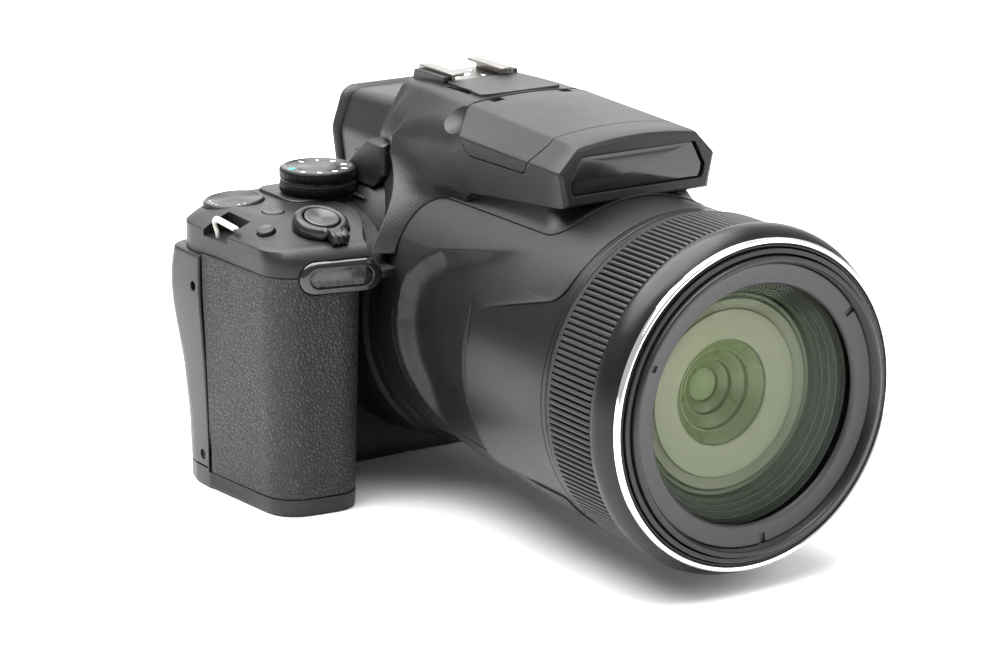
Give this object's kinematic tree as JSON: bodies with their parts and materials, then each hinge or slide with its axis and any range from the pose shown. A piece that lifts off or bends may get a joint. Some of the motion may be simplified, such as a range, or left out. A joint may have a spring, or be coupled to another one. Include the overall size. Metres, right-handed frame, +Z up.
{
  "type": "bridge camera",
  "caption": "Black bridge camera with a long zoom lens, deep rubber grip, dials, pop-up flash in the hump, viewfinder, accessory shoe and a swing-out monitor.",
  "frame": {"origin": "mouth of the tripod socket in the base, under the lens axis", "axes": "+Z up from the base, -Y along the lens towards the subject, -X towards the hand grip"},
  "size_m": [0.1463, 0.1813, 0.1187],
  "materials": {
    "shell": "fine-grained matte black",
    "grip": "soft black rubber",
    "gloss": "glossy black",
    "barrel": "black anodised, satin",
    "trim": "bright",
    "steel": "brushed",
    "glass": "coated",
    "red": "satin dark red",
    "board": "matte"
  },
  "bodies": {
    "camera": {"front_cover": "shell", "rear_cover": "shell", "top_cover": "shell", "bottom_cover": "shell", "grip_rubber": "grip", "thumb_rest": "grip", "right_side_panel": "shell", "hump_cover": "shell", "evf_housing": "shell", "eyecup": "grip", "eyepiece_lens": "glass", "name_plate": "gloss", "hot_shoe": "steel", "flash_hinge_pin": "steel", "af_lamp_bezel": "gloss", "af_lamp_window": "glass", "strap_lugs": "steel", "lens_housing": "shell", "front_bezel": "gloss", "chrome_ring": "trim", "rear_lens_tube": "barrel", "image_sensor": "board", "main_board": "board", "monitor_hinge": "steel", "battery": "board", "tripod_socket": "steel", "terminal_block": "board"},
    "flash": {"flash_lid": "shell", "flash_window": "glass", "flash_tube": "glass"},
    "outer_barrel": {"outer_zoom_barrel": "barrel"},
    "inner_barrel": {"inner_zoom_barrel": "barrel", "retaining_ring": "barrel", "front_element": "glass"},
    "variator": {"variator_frame": "barrel", "variator_lens": "glass"},
    "monitor": {"monitor_frame": "shell", "monitor_screen": "gloss"},
    "control_ring": {"control_ring": "grip"},
    "mode_dial": {"mode_dial": "gloss"},
    "command_dial": {"command_dial": "gloss"},
    "zoom_lever": {"zoom_lever": "gloss"},
    "shutter_button": {"shutter_button": "steel"},
    "power_button": {"power_button": "steel"},
    "function_button": {"function_button": "shell"},
    "flash_button": {"flash_button": "shell"},
    "zoom_return_button": {"zoom_return_button": "shell"},
    "side_zoom_lever": {"side_zoom_lever": "gloss"},
    "diopter_knob": {"diopter_knob": "gloss"},
    "battery_door": {"battery_door": "shell"},
    "battery_door_latch": {"battery_door_latch": "gloss"},
    "terminal_cover": {"terminal_cover": "grip"},
    "multi_selector": {"multi_selector": "shell"},
    "ok_button": {"ok_button": "shell"},
    "playback_button": {"playback_button": "shell"},
    "menu_button": {"menu_button": "shell"},
    "delete_button": {"delete_button": "shell"},
    "movie_button": {"movie_button": "red"},
    "lock_button": {"lock_button": "shell"}
  },
  "joints": [
    {"name": "zoom_outer", "type": "slide", "parent": "camera", "child": "outer_barrel", "axis": [0, -1, 0], "range_m": [0, 0.055]},
    {"name": "zoom_inner", "type": "slide", "parent": "outer_barrel", "child": "inner_barrel", "axis": [0, -1, 0], "range_m": [0, 0.055]},
    {"name": "variator_slide", "type": "slide", "parent": "inner_barrel", "child": "variator", "axis": [0, 1, 0], "range_m": [0, 0.02]},
    {"name": "control_ring_turn", "type": "hinge", "parent": "camera", "child": "control_ring", "pos_m": [0, -0.141, 0.0513], "axis": [0, -1, 0], "continuous": true},
    {"name": "flash_lift", "type": "hinge", "parent": "camera", "child": "flash", "pos_m": [0, -0.054, 0.1132], "axis": [-1, 0, 0], "range_deg": [0, 35]},
    {"name": "monitor_swing", "type": "hinge", "parent": "camera", "child": "monitor", "pos_m": [0.062, 0.0118, 0.037], "axis": [0, 0, -1], "range_deg": [0, 180]},
    {"name": "mode_dial_turn", "type": "hinge", "parent": "camera", "child": "mode_dial", "pos_m": [-0.04, -0.005, 0.085], "axis": [0, 0, 1], "continuous": true},
    {"name": "command_dial_turn", "type": "hinge", "parent": "camera", "child": "command_dial", "pos_m": [-0.064, 0.0015, 0.0784], "axis": [-0.0872, 0, 0.9962], "continuous": true},
    {"name": "zoom_lever_turn", "type": "hinge", "parent": "camera", "child": "zoom_lever", "pos_m": [-0.057, -0.035, 0.0805], "axis": [0, -0.2924, 0.9563], "range_deg": [-18, 18], "stiffness_Nm_per_rad": 0.05},
    {"name": "shutter_press", "type": "slide", "parent": "camera", "child": "shutter_button", "axis": [0, 0.2924, -0.9563], "range_m": [0, 0.001], "stiffness_N_per_m": 600},
    {"name": "power_press", "type": "slide", "parent": "camera", "child": "power_button", "axis": [0, 0, -1], "range_m": [0, 0.0006], "stiffness_N_per_m": 600},
    {"name": "function_press", "type": "slide", "parent": "camera", "child": "function_button", "axis": [0.2722, 0.1564, -0.9494], "range_m": [0, 0.0006], "stiffness_N_per_m": 600},
    {"name": "flash_release_press", "type": "slide", "parent": "camera", "child": "flash_button", "axis": [-1, 0, 0], "range_m": [0, 0.0006], "stiffness_N_per_m": 600},
    {"name": "zoom_return_press", "type": "slide", "parent": "camera", "child": "zoom_return_button", "axis": [-1, 0, 0], "range_m": [0, 0.0006], "stiffness_N_per_m": 600},
    {"name": "side_lever_turn", "type": "hinge", "parent": "camera", "child": "side_zoom_lever", "pos_m": [0.046, -0.093, 0.0513], "axis": [1, 0, 0], "range_deg": [-10, 10], "stiffness_Nm_per_rad": 0.05},
    {"name": "diopter_turn", "type": "hinge", "parent": "camera", "child": "diopter_knob", "pos_m": [-0.02, -0.003, 0.09], "axis": [-1, 0, 0], "range_deg": [-120, 120]},
    {"name": "battery_door_swing", "type": "hinge", "parent": "camera", "child": "battery_door", "pos_m": [-0.0566, -0.023, 0.0013], "axis": [0, -1, 0], "range_deg": [0, 90]},
    {"name": "battery_latch_slide", "type": "slide", "parent": "battery_door", "child": "battery_door_latch", "axis": [1, 0, 0], "range_m": [0, 0.002]},
    {"name": "terminal_cover_swing", "type": "hinge", "parent": "camera", "child": "terminal_cover", "pos_m": [0.0646, -0.006, 0.036], "axis": [0, 0, -1], "range_deg": [0, 110]},
    {"name": "selector_turn", "type": "hinge", "parent": "camera", "child": "multi_selector", "pos_m": [-0.05, 0.011, 0.034], "axis": [0, 1, 0], "continuous": true},
    {"name": "ok_press", "type": "slide", "parent": "camera", "child": "ok_button", "axis": [0, -1, 0], "range_m": [0, 0.0007], "stiffness_N_per_m": 600},
    {"name": "playback_press", "type": "slide", "parent": "camera", "child": "playback_button", "axis": [0, -1, 0], "range_m": [0, 0.0007], "stiffness_N_per_m": 600},
    {"name": "menu_press", "type": "slide", "parent": "camera", "child": "menu_button", "axis": [0, -1, 0], "range_m": [0, 0.0007], "stiffness_N_per_m": 600},
    {"name": "delete_press", "type": "slide", "parent": "camera", "child": "delete_button", "axis": [0, -1, 0], "range_m": [0, 0.0007], "stiffness_N_per_m": 600},
    {"name": "movie_press", "type": "slide", "parent": "camera", "child": "movie_button", "axis": [0, -1, 0], "range_m": [0, 0.0007], "stiffness_N_per_m": 600},
    {"name": "lock_press", "type": "slide", "parent": "camera", "child": "lock_button", "axis": [0, -1, 0], "range_m": [0, 0.0007], "stiffness_N_per_m": 600}
  ],
  "couplings": [
    {"joint": "zoom_inner", "follows": "zoom_outer", "ratio": 1},
    {"joint": "variator_slide", "follows": "zoom_outer", "ratio": 0.36364}
  ]
}
